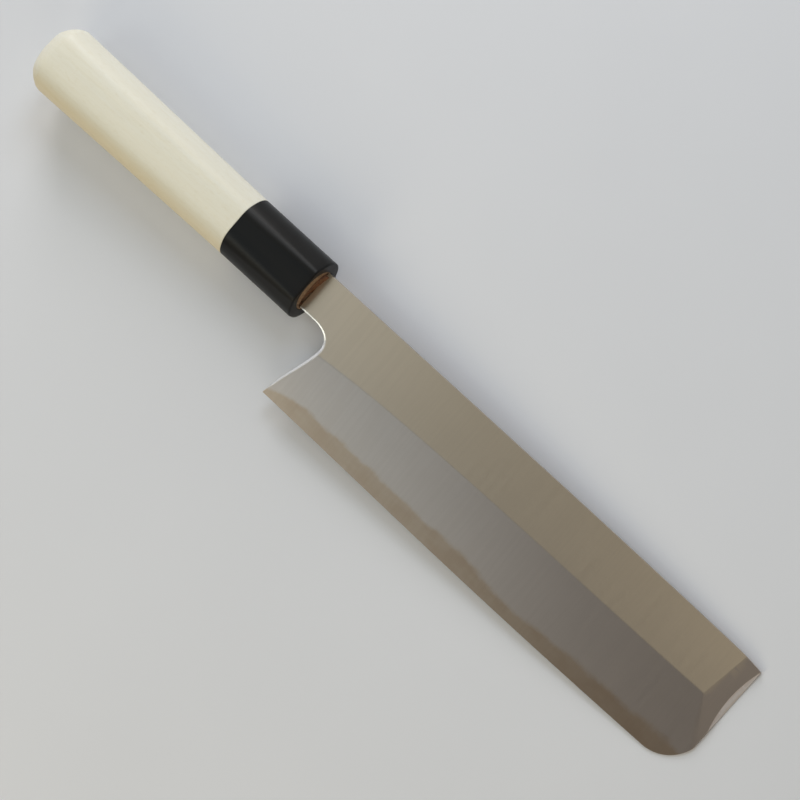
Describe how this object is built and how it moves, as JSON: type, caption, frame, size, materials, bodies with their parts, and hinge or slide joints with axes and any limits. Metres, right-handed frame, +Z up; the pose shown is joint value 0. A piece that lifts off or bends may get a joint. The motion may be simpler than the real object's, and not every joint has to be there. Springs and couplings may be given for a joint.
{
  "type": "usuba knife",
  "caption": "Single-bevel Japanese vegetable knife with a tall, nearly straight laminated blade, an octagonal wooden handle and a horn ferrule.",
  "frame": {"origin": "middle of the bounding box's underside, on the table the knife lies on", "axes": "+X from the butt towards the end of the blade, +Y from the cutting edge towards the spine, +Z up, out of the bevelled face"},
  "size_m": [0.3508, 0.0546, 0.0276],
  "materials": {
    "handle_wood": "sanded bare magnolia wood with a satin feel",
    "horn": "polished black buffalo horn",
    "dowel_wood": "brown end grain, browned where the tang was burned in",
    "resin": "dark orange-brown resin",
    "soft_iron": "fine satin grind, hazy along the bevel",
    "hard_steel": "fine satin grind, brighter than the iron"
  },
  "bodies": {
    "root": {"handle_wood": "handle_wood", "horn_ferrule": "horn", "core_dowel": "dowel_wood", "tang_seal": "resin", "blade_iron": "soft_iron", "blade_steel": "hard_steel"}
  },
  "joints": []
}
